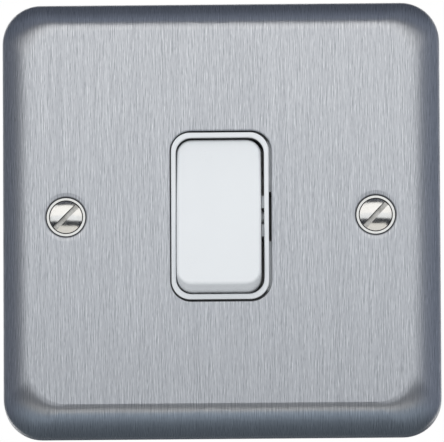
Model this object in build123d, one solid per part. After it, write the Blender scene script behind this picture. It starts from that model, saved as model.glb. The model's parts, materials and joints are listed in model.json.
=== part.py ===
from build123d import *
import math
import os

os.makedirs("parts", exist_ok=True)

# One-gang rocker light switch. Millimetres. The wall is the plane y = 0, the front looks
# along -Y and +Z is up. A height is the distance in front of the wall, so height = -y.

# Drawn plate
PLATE_SIDE = 85.2
PLATE_RISE = 9.0
SHEET = 0.9
SHOULDER = 5.8
WALL_CORNER = 7.5
FACE_CORNER = 6.5
BEND_STEPS = 6
APERTURE_WIDTH = 19.6
APERTURE_LENGTH = 33.4
APERTURE_CORNER = 4.0
APERTURE_EASE = 0.35
FIXING_CENTRES = 60.3
DIMPLE_RADIUS = 4.8
DIMPLE_DROP = 0.06
SINK_RADIUS = 3.96
SEAT_RADIUS = 3.4
FIXING_HOLE = 1.95
STUD_RADIUS = 1.25
STUD_LENGTH = 5.1
STUD_FROM_SIDE = 14.6
STUD_FROM_END = 16.6

# Fixing screws: a neck in the plate, then the thread behind it
SCREW_RADIUS = 1.75
NECK_RADIUS = 1.6
THREAD_START = 0.2
SCREW_BEHIND_WALL = 16.0
HEAD_RADIUS = 3.81
HEAD_RIM = 0.14
CROWN_RADIUS = 3.12
CROWN_RISE = 0.52
CROWN_GROOVE = 0.2
CROWN_GROOVE_DEPTH = 0.12
SLOT_WIDTH = 1.0
SLOT_DEPTH = 0.95
LEFT_SLOT_TURN = 45.0
RIGHT_SLOT_TURN = 47.0
RETAINER_RADIUS = 3.2
RETAINER_THICK = 1.0
RETAINER_CLEARANCE = 0.02

# Liner behind the plate
LINER_GAP = 0.2
LINER_WALL = 1.6
LINER_BACK = 0.4
LINER_RIB = 1.2
RIB_BACK = 1.5
BOSS_SIDE = 6.2
BOSS_TUBE = 4.4
BOSS_BORE = 2.1
DIMPLE_ROOM = 0.5
SLEEVE_RADIUS = 2.8
SLEEVE_BORE = 1.45
SLEEVE_LENGTH = 3.5
NUT_RADIUS = 3.5
NUT_THICK = 0.4
NUT_SLOT = 0.5
COLLAR_MARGIN = 2.0
COLLAR_BACK = 3.0
RIB_X = 7.8

# Where the rocker module sits in the aperture
MODULE_SHIFT = -0.15
SURROUND_SIDE_GAP = 0.3
SURROUND_END_GAP = 0.3

# Surround, flange and skirt, one moulding; the ribs fill the side the rocker floats away from
LIP_SIDE_WALL = 0.9
LIP_END_WALL = 1.0
OPENING_CORNER = 2.4
SURROUND_PROUD = 0.35
SURROUND_EASE = 0.2
FLANGE_WIDTH = 26.0
FLANGE_CORNER = 4.0
FLANGE_THICK = 1.3
FLANGE_ROOM = 0.2
FLANGE_PAST_SCREW = 2.8
GROOVE_WIDTH = 0.8
GROOVE_DEPTH = 0.65
SKIRT_WALL = 2.1
SURROUND_DEPTH = 7.0
NOTCH_LENGTH = 9.6
NOTCH_DEPTH = 6.0
NOTCH_WIDTH = 1.5
GUIDE_FROM = 1.6
GUIDE_TO = 4.0
GUIDE_CLEARANCE = 0.08
MODULE_SCREW_OUT = 2.9
MODULE_BOSS = 2.5
BASE_SCREW = 1.15
THREAD_CLEARANCE = 0.05
BASE_SCREW_LENGTH = 6.8
BASE_SCREW_HEAD = 2.3
BASE_HEAD_RISE = 1.5

# Rocker
PIVOT_BELOW_FACE = 3.0
ROCKER_SIDE_GAP = 0.36
ROCKER_END_GAP = 0.15
ROCKER_CREST = 4.5
ROCKER_DISH = 0.5
ROCKER_SKIRT = 1.0
ROCKER_WALL = 1.5
ROCKER_CORNER = 2.1
ROCKER_EASE = 0.65
ROCKER_FLOAT = -0.23
ROCKER_TILT = 8.0
ROCKER_RIB = 1.0
ROCKER_RIB_Z = 5.5
TRUNNION_RADIUS = 1.2
TRUNNION_LENGTH = 0.9
TRUNNION_ROOM = 0.1
LUG_RADIUS = 2.2
BEARING_CLEARANCE = 0.05
STEM_RADIUS = 2.4
STEM_DROP = 7.0

# Plunger and its spring in the rocker's stem
PLUNGER_RADIUS = 1.5
PLUNGER_CLEARANCE = 0.08
PLUNGER_REACH = 9.6
PLUNGER_LENGTH = 5.1
PLUNGER_BORE_RISE = 2.0
SPIGOT_RADIUS = 0.75
SPIGOT_LENGTH = 1.2
SPRING_WIRE = 0.2
SPRING_MEAN = 1.1
SPRING_TURNS = 7

# See-saw contact lever
TIP_AIR = 0.05
SADDLE_RISE = 1.25
FULCRUM_RADIUS = 0.8
LEVER_WIDTH = 5.0
LEVER_THICK = 0.8
LEVER_ARM = 9.0
LEVER_END = 1.9
MOVING_TIP = 1.4
MOVING_TIP_THICK = 0.5
FIXED_TIP = 1.5
FIXED_TIP_THICK = 0.6
TIP_SHANK = 0.8
CLOSED_AIR = 0.04
CHEEK_GAP = 0.15
CHEEK_WIDTH = 0.6
CHEEK_REACH = 1.6
CHEEK_RISE = 1.6

# Straps and terminals
STRAP_THICK = 0.8
STRAP_WIDTH = 5.0
STRAP_ROOM = 0.1
LINE_STRAP_START = -2.6
COMMON_STRAP_START = -4.0
TERMINAL_PITCH = 9.6
BLOCK_START = 9.5
BLOCK_LENGTH = 7.2
BLOCK_WIDTH = 6.3
BLOCK_DEPTH = 7.2
BLOCK_ROOM = 0.2
BLOCK_EASE = 0.4
BLOCK_SPIGOT = 1.2
SPIGOT_HEAD = 0.2
WIRE_BORE = 2.1
WIRE_BORE_DROP = 2.7
TERMINAL_SCREW = 1.72
TERMINAL_HEAD = 2.6
TERMINAL_HEAD_RISE = 2.2
TERMINAL_SLOT = 0.7
TERMINAL_SLOT_DEPTH = 1.1

# Base of the module
CHAMBER_WIDTH = 13.2
CHAMBER_LENGTH = 30.8
CHAMBER_CORNER = 1.5
FLOOR_THICK = 2.2
BANK_START = 7.5
BANK_PAST_BLOCK = 0.8
BANK_FRONT = -4.5
BANK_BEHIND_BLOCK = 2.4
BANK_EASE = 1.0
POST_THICK = 0.5
POST_CLEARANCE = 0.1
EAR_RADIUS = 3.3
EAR_THICK = 3.2
EAR_HOLE = 1.35

# Earth bond
EARTH_STRAP_THICK = 0.6
EARTH_STRAP_WIDTH = 4.0
EARTH_FOOT = 3.2
EARTH_LEG_IN = 4.4
EARTH_BLOCK_IN = 10.0
EARTH_BLOCK_UP = 0.5
PEDESTAL_BEHIND_WALL = 0.5
PEDESTAL_SIDE = 8.0

# Heights in front of the wall that follow from the sizes above
UNDERSIDE = PLATE_RISE - SHEET
SINK_FLOOR = PLATE_RISE - DIMPLE_DROP
CONE_LINE = SINK_FLOOR - SINK_RADIUS
SURROUND_FRONT = PLATE_RISE + SURROUND_PROUD
FLANGE_BACK = UNDERSIDE - FLANGE_THICK
SKIRT_END = PLATE_RISE - SURROUND_DEPTH
PIVOT = PLATE_RISE - PIVOT_BELOW_FACE
TILT = math.radians(ROCKER_TILT)
FULCRUM = PIVOT - PLUNGER_REACH - TIP_AIR - SADDLE_RISE
APEX = FULCRUM + SADDLE_RISE
CONTACT_TOP = FULCRUM + SADDLE_RISE * math.cos(TILT) - LEVER_THICK - MOVING_TIP_THICK - CLOSED_AIR
STRAP_FRONT = CONTACT_TOP - FIXED_TIP_THICK
FLOOR = STRAP_FRONT - STRAP_THICK
WIRE_AXIS = FLOOR - WIRE_BORE_DROP
BANK_BACK = FLOOR - BLOCK_DEPTH - BANK_BEHIND_BLOCK
SLEEVE_END = UNDERSIDE - SLEEVE_LENGTH

# Widths and lengths that follow
LIP_WIDTH = APERTURE_WIDTH - 2 * SURROUND_SIDE_GAP
LIP_LENGTH = APERTURE_LENGTH - 2 * SURROUND_END_GAP
LIP_CORNER = APERTURE_CORNER - SURROUND_SIDE_GAP
OPENING_WIDTH = LIP_WIDTH - 2 * LIP_SIDE_WALL
OPENING_LENGTH = LIP_LENGTH - 2 * LIP_END_WALL
SKIRT_WIDTH = OPENING_WIDTH + 2 * SKIRT_WALL
SKIRT_LENGTH = OPENING_LENGTH + 2 * SKIRT_WALL
SKIRT_CORNER = OPENING_CORNER + SKIRT_WALL
MODULE_SCREW_Z = SKIRT_LENGTH / 2 + MODULE_SCREW_OUT
FLANGE_LENGTH = 2 * (MODULE_SCREW_Z + FLANGE_PAST_SCREW)
ROCKER_HALF = OPENING_WIDTH / 2 - ROCKER_SIDE_GAP
ROCKER_RADIUS = OPENING_LENGTH / 2 - ROCKER_END_GAP
TRUNNION_END = ROCKER_HALF + TRUNNION_LENGTH
CONTACT_Z = SADDLE_RISE * math.sin(TILT) + LEVER_ARM
BLOCK_END = BLOCK_START + BLOCK_LENGTH
BLOCK_MIDDLE = BLOCK_START + BLOCK_LENGTH / 2
STRAP_END = BLOCK_END - 0.1
BANK_END = BLOCK_END + BANK_PAST_BLOCK
FIXING_X = FIXING_CENTRES / 2
STUD_X = PLATE_SIDE / 2 - STUD_FROM_SIDE
STUD_Z = PLATE_SIDE / 2 - STUD_FROM_END
EARTH_LEG_X = -STUD_X + EARTH_LEG_IN
EARTH_BLOCK_X = -STUD_X + EARTH_BLOCK_IN
EARTH_BLOCK_Z = -STUD_Z + EARTH_BLOCK_UP
EARTH_BACK = -PEDESTAL_BEHIND_WALL - EARTH_STRAP_THICK
FORWARD = (0, -1, 0)


def slab(outline, back, front):
    """A flat outline in X and Z, solid between two heights."""
    return extrude(Plane.XZ.offset(back) * outline, amount=front - back, dir=FORWARD)


def block(x0, x1, z0, z1, back, front):
    """A box between two x, two z and two heights."""
    middle = Pos((x0 + x1) / 2, -(back + front) / 2, (z0 + z1) / 2)
    return middle * Box(x1 - x0, front - back, z1 - z0)


def column(radius, x, z, back, front):
    """A round column square to the wall."""
    return slab(Pos(x, z) * Circle(radius), back, front)


def axle(radius, x0, x1, height, z):
    """A round bar along X."""
    return Pos((x0 + x1) / 2, -height, z) * Rot(0, 90, 0) * Cylinder(radius, x1 - x0)


def turned(points, x, z):
    """A solid of revolution square to the wall from radius and height pairs."""
    outline = make_face(Polyline(*[(radius, -height) for radius, height in points], close=True))
    return Pos(x, 0, z) * revolve(outline, axis=Axis.Y)


def tilted(solid, height, degrees):
    """Turn about an axis along X at a height."""
    return Pos(0, -height, 0) * Rot(degrees, 0, 0) * Pos(0, height, 0) * solid


def save(name, solids):
    """Write one node; a list of separate solids stays one node."""
    shape = Compound(children=list(solids)) if isinstance(solids, (list, tuple)) else solids
    export_step(shape, "parts/" + name + ".step")


def module(solid):
    """Shift from the module's own centre to where it sits in the aperture."""
    return Pos(MODULE_SHIFT, 0, 0) * solid


def floated(solid):
    """Shift a piece of the rocker to where it floats between the surround's sides."""
    return module(Pos(ROCKER_FLOAT, 0, 0) * solid)


def pressing(inset):
    """The drawn outline moved in by an inset: a straight wall, then the rounded shoulder."""
    half = PLATE_SIDE / 2 - inset
    bend = SHOULDER - inset
    wall_top = PLATE_RISE - SHOULDER
    wall_corner = WALL_CORNER - inset
    wall = slab(RectangleRounded(2 * half, 2 * half, wall_corner), 0, wall_top)
    sections = []
    for step in range(BEND_STEPS + 1):
        turn = math.radians(90 * step / BEND_STEPS)
        share = 1 - math.cos(turn)
        side = 2 * (half - bend * share)
        corner = wall_corner + (FACE_CORNER - wall_corner) * share
        height = wall_top + bend * math.sin(turn)
        sections.append(Plane.XZ.offset(height) * RectangleRounded(side, side, corner))
    return wall + loft(sections)


def plate():
    """Brushed sheet with the aperture, two dimpled fixing holes and four welded studs."""
    body = pressing(0) - pressing(SHEET)
    aperture = RectangleRounded(APERTURE_WIDTH, APERTURE_LENGTH, APERTURE_CORNER)
    body -= slab(aperture, UNDERSIDE - 1, PLATE_RISE + 1)
    rim = [
        edge
        for edge in body.edges()
        if abs(edge.center().Y + PLATE_RISE) < 0.01
        and abs(edge.center().X) < APERTURE_WIDTH / 2 + 0.5
        and abs(edge.center().Z) < APERTURE_LENGTH / 2 + 0.5
    ]
    body = fillet(rim, APERTURE_EASE)
    cone_back = CONE_LINE - SHEET * math.sqrt(2)
    for side in (-1, 1):
        under = [
            (0, cone_back + FIXING_HOLE),
            (FIXING_HOLE, cone_back + FIXING_HOLE),
            (UNDERSIDE - cone_back, UNDERSIDE),
            (UNDERSIDE - cone_back, PLATE_RISE - SHEET / 2),
            (0, PLATE_RISE - SHEET / 2),
        ]
        sink = [
            (0, cone_back),
            (FIXING_HOLE, cone_back),
            (FIXING_HOLE, CONE_LINE + FIXING_HOLE),
            (SEAT_RADIUS, CONE_LINE + SEAT_RADIUS),
            (SINK_RADIUS, CONE_LINE + SEAT_RADIUS),
            (SINK_RADIUS, SINK_FLOOR),
            (DIMPLE_RADIUS, PLATE_RISE),
            (DIMPLE_RADIUS, PLATE_RISE + 1),
            (0, PLATE_RISE + 1),
        ]
        body += turned(under, side * FIXING_X, 0)
        body -= turned(sink, side * FIXING_X, 0)
    for x in (-STUD_X, STUD_X):
        for z in (-STUD_Z, STUD_Z):
            body += column(STUD_RADIUS, x, z, UNDERSIDE - STUD_LENGTH, UNDERSIDE)
    return body


def fixing_screw(side, slot_turn):
    """Raised countersunk screw; its cone rests in the plate's."""
    rim = CONE_LINE + HEAD_RADIUS + HEAD_RIM
    tip = -SCREW_BEHIND_WALL
    points = [
        (0, tip),
        (SCREW_RADIUS - 0.3, tip),
        (SCREW_RADIUS, tip + 0.3),
        (SCREW_RADIUS, THREAD_START),
        (NECK_RADIUS, THREAD_START + 0.15),
        (NECK_RADIUS, CONE_LINE + NECK_RADIUS),
        (HEAD_RADIUS, CONE_LINE + HEAD_RADIUS),
        (HEAD_RADIUS, rim - 0.06),
        (HEAD_RADIUS - 0.06, rim),
        (CROWN_RADIUS + CROWN_GROOVE, rim),
        (CROWN_RADIUS + CROWN_GROOVE, rim - CROWN_GROOVE_DEPTH),
        (CROWN_RADIUS, rim - CROWN_GROOVE_DEPTH),
        (CROWN_RADIUS, rim),
        (0, rim),
    ]
    body = turned(points, side * FIXING_X, 0)
    ball = (CROWN_RADIUS ** 2 + CROWN_RISE ** 2) / (2 * CROWN_RISE)
    crown = Pos(side * FIXING_X, -(rim + CROWN_RISE - ball), 0) * Sphere(ball)
    crown &= column(CROWN_RADIUS, side * FIXING_X, 0, rim - 0.05, rim + CROWN_RISE + 1)
    body += crown
    slot = Pos(side * FIXING_X, 0) * Rot(0, 0, slot_turn) * Rectangle(3 * CROWN_RADIUS, SLOT_WIDTH)
    slot &= Pos(side * FIXING_X, 0) * Circle(CROWN_RADIUS)
    return body - slab(slot, rim + CROWN_RISE - SLOT_DEPTH, rim + CROWN_RISE + 1)


def retainers():
    """Soft collars that keep the fixing screws in the plate."""
    collars = []
    for side in (-1, 1):
        ring = Circle(RETAINER_RADIUS) - Circle(NECK_RADIUS + RETAINER_CLEARANCE)
        collars.append(
            slab(Pos(side * FIXING_X, 0) * ring, LINER_BACK, LINER_BACK + RETAINER_THICK)
        )
    return collars


def liner():
    """Moulded tray behind the plate, with the rebate that clamps the module's flange."""
    outer_inset = SHEET + LINER_GAP
    inner_inset = outer_inset + LINER_WALL
    outer = pressing(outer_inset)
    hollow = pressing(inner_inset)
    web_back = PLATE_RISE - inner_inset
    front = PLATE_RISE - outer_inset
    room = FLANGE_ROOM + abs(MODULE_SHIFT)
    rebate_width = FLANGE_WIDTH + 2 * room
    rebate_length = FLANGE_LENGTH + 2 * FLANGE_ROOM
    collar_width = rebate_width + 2 * COLLAR_MARGIN
    collar_length = rebate_length + 2 * COLLAR_MARGIN
    body = outer - hollow
    inside = PLATE_SIDE / 2 - inner_inset + 0.5
    ribs = []
    for z in (-STUD_Z / 2, 0, STUD_Z / 2):
        ribs.append(block(-inside, inside, z - LINER_RIB / 2, z + LINER_RIB / 2, RIB_BACK, web_back + 0.2))
    for x in (-RIB_X, RIB_X):
        ribs.append(block(x - LINER_RIB / 2, x + LINER_RIB / 2, -inside, inside, RIB_BACK, web_back + 0.2))
    for rib in ribs:
        body += rib
    collar = RectangleRounded(collar_width, collar_length, FLANGE_CORNER + COLLAR_MARGIN)
    body += slab(collar, COLLAR_BACK, front)
    cone_back = CONE_LINE - SHEET * math.sqrt(2)
    pocket = UNDERSIDE - cone_back + DIMPLE_ROOM
    pocket_floor = cone_back + FIXING_HOLE - DIMPLE_ROOM
    for side in (-1, 1):
        x = side * FIXING_X
        body += column(BOSS_SIDE, x, 0, pocket_floor - LINER_WALL, front)
        body += column(BOSS_TUBE, x, 0, LINER_BACK, pocket_floor)
    pedestal = PEDESTAL_SIDE / 2
    body += block(
        EARTH_BLOCK_X - pedestal,
        EARTH_BLOCK_X + pedestal,
        EARTH_BLOCK_Z - pedestal,
        EARTH_BLOCK_Z + pedestal,
        -PEDESTAL_BEHIND_WALL,
        web_back + 0.2,
    )
    cheek_z = EARTH_BLOCK_Z + BLOCK_LENGTH / 2 + 0.1
    body += block(
        EARTH_BLOCK_X - 2, EARTH_BLOCK_X + 2, cheek_z, EARTH_BLOCK_Z + pedestal + 0.8, EARTH_BACK - 2, 1
    )
    for x in (-STUD_X, STUD_X):
        for z in (-STUD_Z, STUD_Z):
            body += column(SLEEVE_RADIUS, x, z, SLEEVE_END, front)
            body -= column(SLEEVE_BORE, x, z, SLEEVE_END - 1, front + 1)
    for side in (-1, 1):
        x = side * FIXING_X
        body -= column(pocket, x, 0, pocket_floor, front + 1)
        body -= column(BOSS_BORE, x, 0, LINER_BACK - 1, front)
        body -= column(RETAINER_RADIUS + 0.05, x, 0, LINER_BACK - 1, LINER_BACK + RETAINER_THICK)
    rebate = RectangleRounded(rebate_width, rebate_length, FLANGE_CORNER)
    body -= slab(rebate, FLANGE_BACK, front + 1)
    through = RectangleRounded(
        SKIRT_WIDTH + 2 * (abs(MODULE_SHIFT) + 0.15), SKIRT_LENGTH + 0.6, SKIRT_CORNER
    )
    body -= slab(through, -1, front + 1)
    boss_slot = 2 * (MODULE_BOSS + abs(MODULE_SHIFT) + 0.3)
    body -= slab(Rectangle(boss_slot, 2 * (MODULE_SCREW_Z + MODULE_BOSS + 0.3)), -1, front + 1)
    body -= column(EARTH_FOOT + 0.3, -STUD_X, -STUD_Z, UNDERSIDE - EARTH_STRAP_THICK, front + 1)
    half_strap = EARTH_STRAP_WIDTH / 2 + 0.2
    body -= block(
        -STUD_X,
        EARTH_LEG_X + 0.2,
        -STUD_Z - half_strap,
        -STUD_Z + half_strap,
        UNDERSIDE - EARTH_STRAP_THICK,
        front + 1,
    )
    body -= block(
        EARTH_LEG_X - EARTH_STRAP_THICK - 0.2,
        EARTH_LEG_X + 0.2,
        -STUD_Z - half_strap,
        -STUD_Z + half_strap,
        -2,
        front + 1,
    )
    body -= column(BLOCK_SPIGOT + 0.3, EARTH_BLOCK_X, EARTH_BLOCK_Z, -2, 0.3)
    return body


def push_nuts():
    """Spring discs pressed on the studs behind the liner."""
    discs = []
    for x in (-STUD_X, STUD_X):
        for z in (-STUD_Z, STUD_Z):
            disc = Circle(NUT_RADIUS) - Circle(STUD_RADIUS)
            for turn in (0, 60, 120):
                disc -= Rot(0, 0, turn) * Rectangle(2 * NUT_RADIUS - 1.6, NUT_SLOT)
            discs.append(slab(Pos(x, z) * disc, SLEEVE_END - NUT_THICK, SLEEVE_END))
    return discs


def frame():
    """The white surround with its flange, skirt, bearings, guide ribs and bosses."""
    lip = slab(RectangleRounded(LIP_WIDTH, LIP_LENGTH, LIP_CORNER), FLANGE_BACK, SURROUND_FRONT)
    opening = RectangleRounded(OPENING_WIDTH, OPENING_LENGTH, OPENING_CORNER)
    lip -= slab(opening, FLANGE_BACK - 1, SURROUND_FRONT + 1)
    front = [edge for edge in lip.edges() if abs(edge.center().Y + SURROUND_FRONT) < 0.01]
    lip = fillet(front, SURROUND_EASE)
    body = slab(RectangleRounded(FLANGE_WIDTH, FLANGE_LENGTH, FLANGE_CORNER), FLANGE_BACK, UNDERSIDE)
    body += slab(RectangleRounded(SKIRT_WIDTH, SKIRT_LENGTH, SKIRT_CORNER), SKIRT_END, FLANGE_BACK)
    for side in (-1, 1):
        z = side * MODULE_SCREW_Z
        web = sorted((side * SKIRT_LENGTH / 2 - side, z))
        body += column(MODULE_BOSS, 0, z, SKIRT_END, FLANGE_BACK)
        body += block(-1, 1, web[0], web[1], SKIRT_END, FLANGE_BACK)
        body -= column(BASE_SCREW + THREAD_CLEARANCE, 0, z, SKIRT_END - 1, FLANGE_BACK - 0.6)
    body -= slab(opening, SKIRT_END - 1, SURROUND_FRONT + 1)
    groove = RectangleRounded(
        LIP_WIDTH + 2 * GROOVE_WIDTH, LIP_LENGTH + 2 * GROOVE_WIDTH, LIP_CORNER + GROOVE_WIDTH
    )
    body -= slab(groove, UNDERSIDE - GROOVE_DEPTH, UNDERSIDE + 1)
    body += lip
    inner = OPENING_WIDTH / 2
    bearing = TRUNNION_RADIUS + BEARING_CLEARANCE
    rib_side = ROCKER_HALF + ROCKER_FLOAT + GUIDE_CLEARANCE
    for z in (GUIDE_FROM, -GUIDE_TO):
        body += block(rib_side, inner + 0.1, z, z + GUIDE_TO - GUIDE_FROM, SKIRT_END, UNDERSIDE)
    for side in (-1, 1):
        slot = sorted((side * (inner - 0.3), side * (TRUNNION_END + abs(ROCKER_FLOAT) + TRUNNION_ROOM)))
        body -= axle(bearing, slot[0], slot[1], PIVOT, 0)
        body -= block(slot[0], slot[1], -bearing, bearing, SKIRT_END - 1, PIVOT)
        notch = sorted((side * LIP_WIDTH / 2, side * (LIP_WIDTH / 2 + NOTCH_WIDTH)))
        body -= block(
            notch[0], notch[1], -NOTCH_LENGTH / 2, NOTCH_LENGTH / 2, PLATE_RISE - NOTCH_DEPTH, PLATE_RISE
        )
    return body


def rocker_prism(radius, crest, skirt, half_width):
    """Side view of the rocker about its axle, run out along X."""
    reach = math.sqrt(radius ** 2 - crest ** 2)
    sweep_radius = (reach ** 2 + ROCKER_DISH ** 2) / (2 * ROCKER_DISH)
    band = Pos((skirt - crest - 2) / 2, 0) * Rectangle(skirt + crest + 2, 2 * radius + 2)
    dish = Pos(-(crest - ROCKER_DISH + sweep_radius), 0) * Circle(sweep_radius)
    outline = (Circle(radius) & band) - dish
    prism = extrude(Plane.YZ.offset(-half_width) * outline, amount=2 * half_width, dir=(1, 0, 0))
    return Pos(0, -PIVOT, 0) * prism


def rocker():
    """Dished rocker with trunnions and a stem for the plunger, tilted to its rest."""
    body = rocker_prism(ROCKER_RADIUS, ROCKER_CREST, ROCKER_SKIRT, ROCKER_HALF)
    corners = [
        edge
        for edge in body.edges()
        if edge.geom_type == GeomType.CIRCLE
        and abs(edge.radius - ROCKER_RADIUS) < 0.01
        and abs(abs(edge.center().X) - ROCKER_HALF) < 0.01
    ]
    body = fillet(corners, ROCKER_CORNER)
    face = body.faces().sort_by(Axis.Y)[0]
    body = fillet(face.edges(), ROCKER_EASE)
    body -= rocker_prism(
        ROCKER_RADIUS - ROCKER_WALL, ROCKER_CREST - ROCKER_WALL, ROCKER_SKIRT + 1, ROCKER_HALF - ROCKER_WALL
    )
    top = PIVOT + ROCKER_CREST - ROCKER_DISH - 0.5
    inner = ROCKER_HALF - ROCKER_WALL + 0.1
    for z in (-ROCKER_RIB_Z, ROCKER_RIB_Z):
        body += block(-inner, inner, z - ROCKER_RIB / 2, z + ROCKER_RIB / 2, PIVOT - 0.5, top)
    length = ROCKER_RADIUS - ROCKER_WALL - 0.3
    body += block(-ROCKER_RIB / 2, ROCKER_RIB / 2, -length, length, PIVOT + 0.5, top)
    for side in (-1, 1):
        lug = sorted((side * (ROCKER_HALF - ROCKER_WALL), side * ROCKER_HALF))
        pin = sorted((side * (ROCKER_HALF - 0.5), side * TRUNNION_END))
        body += axle(LUG_RADIUS, lug[0], lug[1], PIVOT, 0)
        body += axle(TRUNNION_RADIUS, pin[0], pin[1], PIVOT, 0)
    body += column(STEM_RADIUS, 0, 0, PIVOT - STEM_DROP, top)
    body -= column(
        PLUNGER_RADIUS + PLUNGER_CLEARANCE, 0, 0, PIVOT - STEM_DROP - 1, PIVOT + PLUNGER_BORE_RISE
    )
    return tilted(body, PIVOT, -ROCKER_TILT)


def plunger():
    """Domed pin that slides in the rocker's stem."""
    tip = PIVOT - PLUNGER_REACH
    shoulder = tip + PLUNGER_LENGTH
    body = Pos(0, -(tip + PLUNGER_RADIUS), 0) * Sphere(PLUNGER_RADIUS)
    body += column(PLUNGER_RADIUS, 0, 0, tip + PLUNGER_RADIUS, shoulder)
    body += column(SPIGOT_RADIUS, 0, 0, shoulder, shoulder + SPIGOT_LENGTH)
    return tilted(body, PIVOT, -ROCKER_TILT)


def plunger_spring():
    """Coil between the plunger's shoulder and the end of its bore."""
    start = PIVOT - PLUNGER_REACH + PLUNGER_LENGTH + SPRING_WIRE
    rise = PIVOT + PLUNGER_BORE_RISE - SPRING_WIRE - start
    path = Helix(pitch=rise / SPRING_TURNS, height=rise, radius=SPRING_MEAN)
    wire = Plane(origin=path @ 0, z_dir=path % 0) * Circle(SPRING_WIRE)
    coil = sweep(wire, path=path, is_frenet=True)
    coil = Pos(0, -start, 0) * Rot(90, 0, 0) * coil
    return tilted(coil, PIVOT, -ROCKER_TILT)


def on_arm(side, solid):
    """Place a solid drawn on a level arm on the arm bent forward, then tilt the lever to rest."""
    placed = Pos(0, -APEX, 0) * Rot(side * ROCKER_TILT, 0, 0) * solid
    return tilted(placed, FULCRUM, ROCKER_TILT)


def lever():
    """See-saw strip with two forward arms and a saddle over the fulcrum."""
    half = LEVER_WIDTH / 2
    body = None
    for side in (-1, 1):
        ends = sorted((0, side * (LEVER_ARM + LEVER_END)))
        arm = block(-half, half, ends[0], ends[1], -LEVER_THICK, 0)
        corners = arm.edges().filter_by(Axis.Y).sort_by(Axis.Z)
        arm = fillet(corners[-2:] if side > 0 else corners[:2], 1.5)
        arm -= column(TIP_SHANK, 0, side * LEVER_ARM, -LEVER_THICK - 1, 1)
        arm = on_arm(side, arm)
        body = arm if body is None else body + arm
    saddle = axle(SADDLE_RISE, -half, half, FULCRUM, 0)
    saddle -= block(-half - 1, half + 1, -3, 3, FULCRUM - 3, FULCRUM)
    body += tilted(saddle, FULCRUM, ROCKER_TILT)
    return body - axle(FULCRUM_RADIUS + BEARING_CLEARANCE, -half - 1, half + 1, FULCRUM, 0)


def moving_tips():
    """Silver discs riveted to the back of the lever's arms."""
    tips = []
    for side in (-1, 1):
        disc = column(
            MOVING_TIP, 0, side * LEVER_ARM, -LEVER_THICK - MOVING_TIP_THICK, -LEVER_THICK
        )
        disc += column(TIP_SHANK, 0, side * LEVER_ARM, -LEVER_THICK, 0)
        tips.append(on_arm(side, disc))
    return tips


def fixed_tips():
    """Silver discs riveted to the two line straps."""
    tips = []
    for side in (-1, 1):
        disc = column(FIXED_TIP, 0, side * CONTACT_Z, STRAP_FRONT, CONTACT_TOP)
        tips.append(module(disc + column(TIP_SHANK, 0, side * CONTACT_Z, FLOOR, STRAP_FRONT)))
    return tips


def line_strap(side):
    """Brass strip from a fixed tip to its terminal."""
    z = side * CONTACT_Z
    half = STRAP_WIDTH / 2
    body = block(LINE_STRAP_START, STRAP_END, z - half, z + half, FLOOR, STRAP_FRONT)
    body -= column(TIP_SHANK, 0, z, FLOOR - 1, STRAP_FRONT + 1)
    return body - column(BLOCK_SPIGOT, BLOCK_MIDDLE, side * TERMINAL_PITCH, FLOOR - 1, STRAP_FRONT + 1)


def common_strap():
    """Brass strip that carries the fulcrum and its two cheeks."""
    half = STRAP_WIDTH / 2
    cheek = LEVER_WIDTH / 2 + CHEEK_GAP
    ridge = cheek + CHEEK_WIDTH
    body = block(COMMON_STRAP_START, STRAP_END, -half, half, FLOOR, STRAP_FRONT)
    body -= column(BLOCK_SPIGOT, BLOCK_MIDDLE, 0, FLOOR - 1, STRAP_FRONT + 1)
    body += axle(FULCRUM_RADIUS, -ridge, ridge, FULCRUM, 0) - block(
        -ridge - 1, ridge + 1, -2, 2, FULCRUM - 2, FULCRUM
    )
    body += block(-ridge, ridge, -FULCRUM_RADIUS, FULCRUM_RADIUS, STRAP_FRONT, FULCRUM)
    for side in (-1, 1):
        ends = sorted((side * cheek, side * ridge))
        body += block(ends[0], ends[1], -CHEEK_REACH, CHEEK_REACH, STRAP_FRONT, STRAP_FRONT + CHEEK_RISE)
    return body


def terminal_block():
    """Brass block under a strap: a wire bore along X and a tapped hole from the back."""
    half = BLOCK_WIDTH / 2
    body = block(BLOCK_START, BLOCK_END, -half, half, FLOOR - BLOCK_DEPTH, FLOOR)
    body = fillet(body.edges().filter_by(Axis.Y), BLOCK_EASE)
    body += column(BLOCK_SPIGOT, BLOCK_MIDDLE, 0, FLOOR, STRAP_FRONT + SPIGOT_HEAD)
    body -= axle(WIRE_BORE, BLOCK_START - 1, BLOCK_END + 1, WIRE_AXIS, 0)
    return body - column(
        TERMINAL_SCREW + THREAD_CLEARANCE, BLOCK_MIDDLE, 0, FLOOR - BLOCK_DEPTH - 1, WIRE_AXIS
    )


def terminal_screw():
    """Slotted cheese-head screw, its tip level with the wire bore's wall."""
    tip = WIRE_AXIS - WIRE_BORE
    seat = FLOOR - BLOCK_DEPTH
    body = column(TERMINAL_SCREW, BLOCK_MIDDLE, 0, seat, tip)
    body += column(TERMINAL_HEAD, BLOCK_MIDDLE, 0, seat - TERMINAL_HEAD_RISE, seat)
    slot = block(
        BLOCK_MIDDLE - TERMINAL_HEAD - 1,
        BLOCK_MIDDLE + TERMINAL_HEAD + 1,
        -TERMINAL_SLOT / 2,
        TERMINAL_SLOT / 2,
        seat - TERMINAL_HEAD_RISE - 1,
        seat - TERMINAL_HEAD_RISE + TERMINAL_SLOT_DEPTH,
    )
    return body - slot


def to_earth(solid):
    """Take a piece of the module's middle terminal to the earth bond and turn it to open downwards."""
    centred = Pos(-BLOCK_MIDDLE, FLOOR, 0) * solid
    return Pos(EARTH_BLOCK_X, -EARTH_BACK, EARTH_BLOCK_Z) * Rot(0, 90, 0) * centred


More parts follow.
